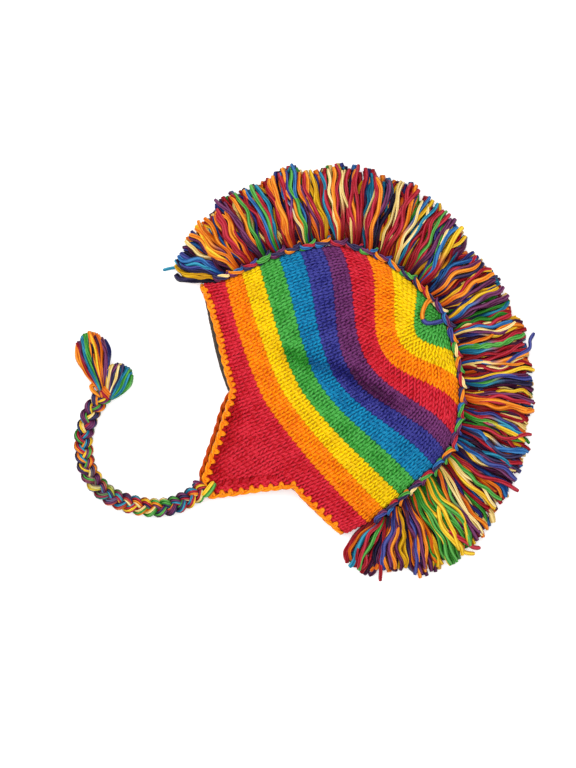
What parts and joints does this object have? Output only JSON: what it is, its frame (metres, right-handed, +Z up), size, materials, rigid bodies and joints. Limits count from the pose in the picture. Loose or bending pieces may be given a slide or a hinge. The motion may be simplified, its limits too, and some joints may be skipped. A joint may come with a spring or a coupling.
{
  "type": "earflap hat",
  "caption": "Knitted rainbow-striped earflap hat with a yarn mohawk fringe, orange crocheted edging and plaited ties, lying flattened on its side.",
  "frame": {"origin": "on the flat underside of the crown's right layer, where the hat lies on the surface, above the right ear flap", "axes": "+X from forehead to nape, +Y from the rim to the top of the crown, +Z up from the surface to the hat's left side"},
  "size_m": [0.3912, 0.414, 0.0482],
  "materials": {
    "striped_knit": "chunky wool stocking stitch in red, orange, yellow, green, blue, indigo and purple stripes",
    "red_knit": "chunky red wool stocking stitch",
    "orange_crochet": "orange wool crochet edging",
    "fleece": "short brown fleece",
    "mixed_yarn": "loose cut wool yarn in mixed colours",
    "plaited_yarn": "three-strand plait of wool yarn in mixed colours"
  },
  "bodies": {
    "root": {"crown": "striped_knit", "lining": "fleece", "ear_flap_left": "red_knit", "ear_flap_right": "red_knit", "edging": "orange_crochet", "mohawk_fringe": "mixed_yarn", "tie_left": "plaited_yarn", "tie_right": "plaited_yarn", "tassel_left": "mixed_yarn", "tassel_right": "mixed_yarn"}
  },
  "joints": []
}
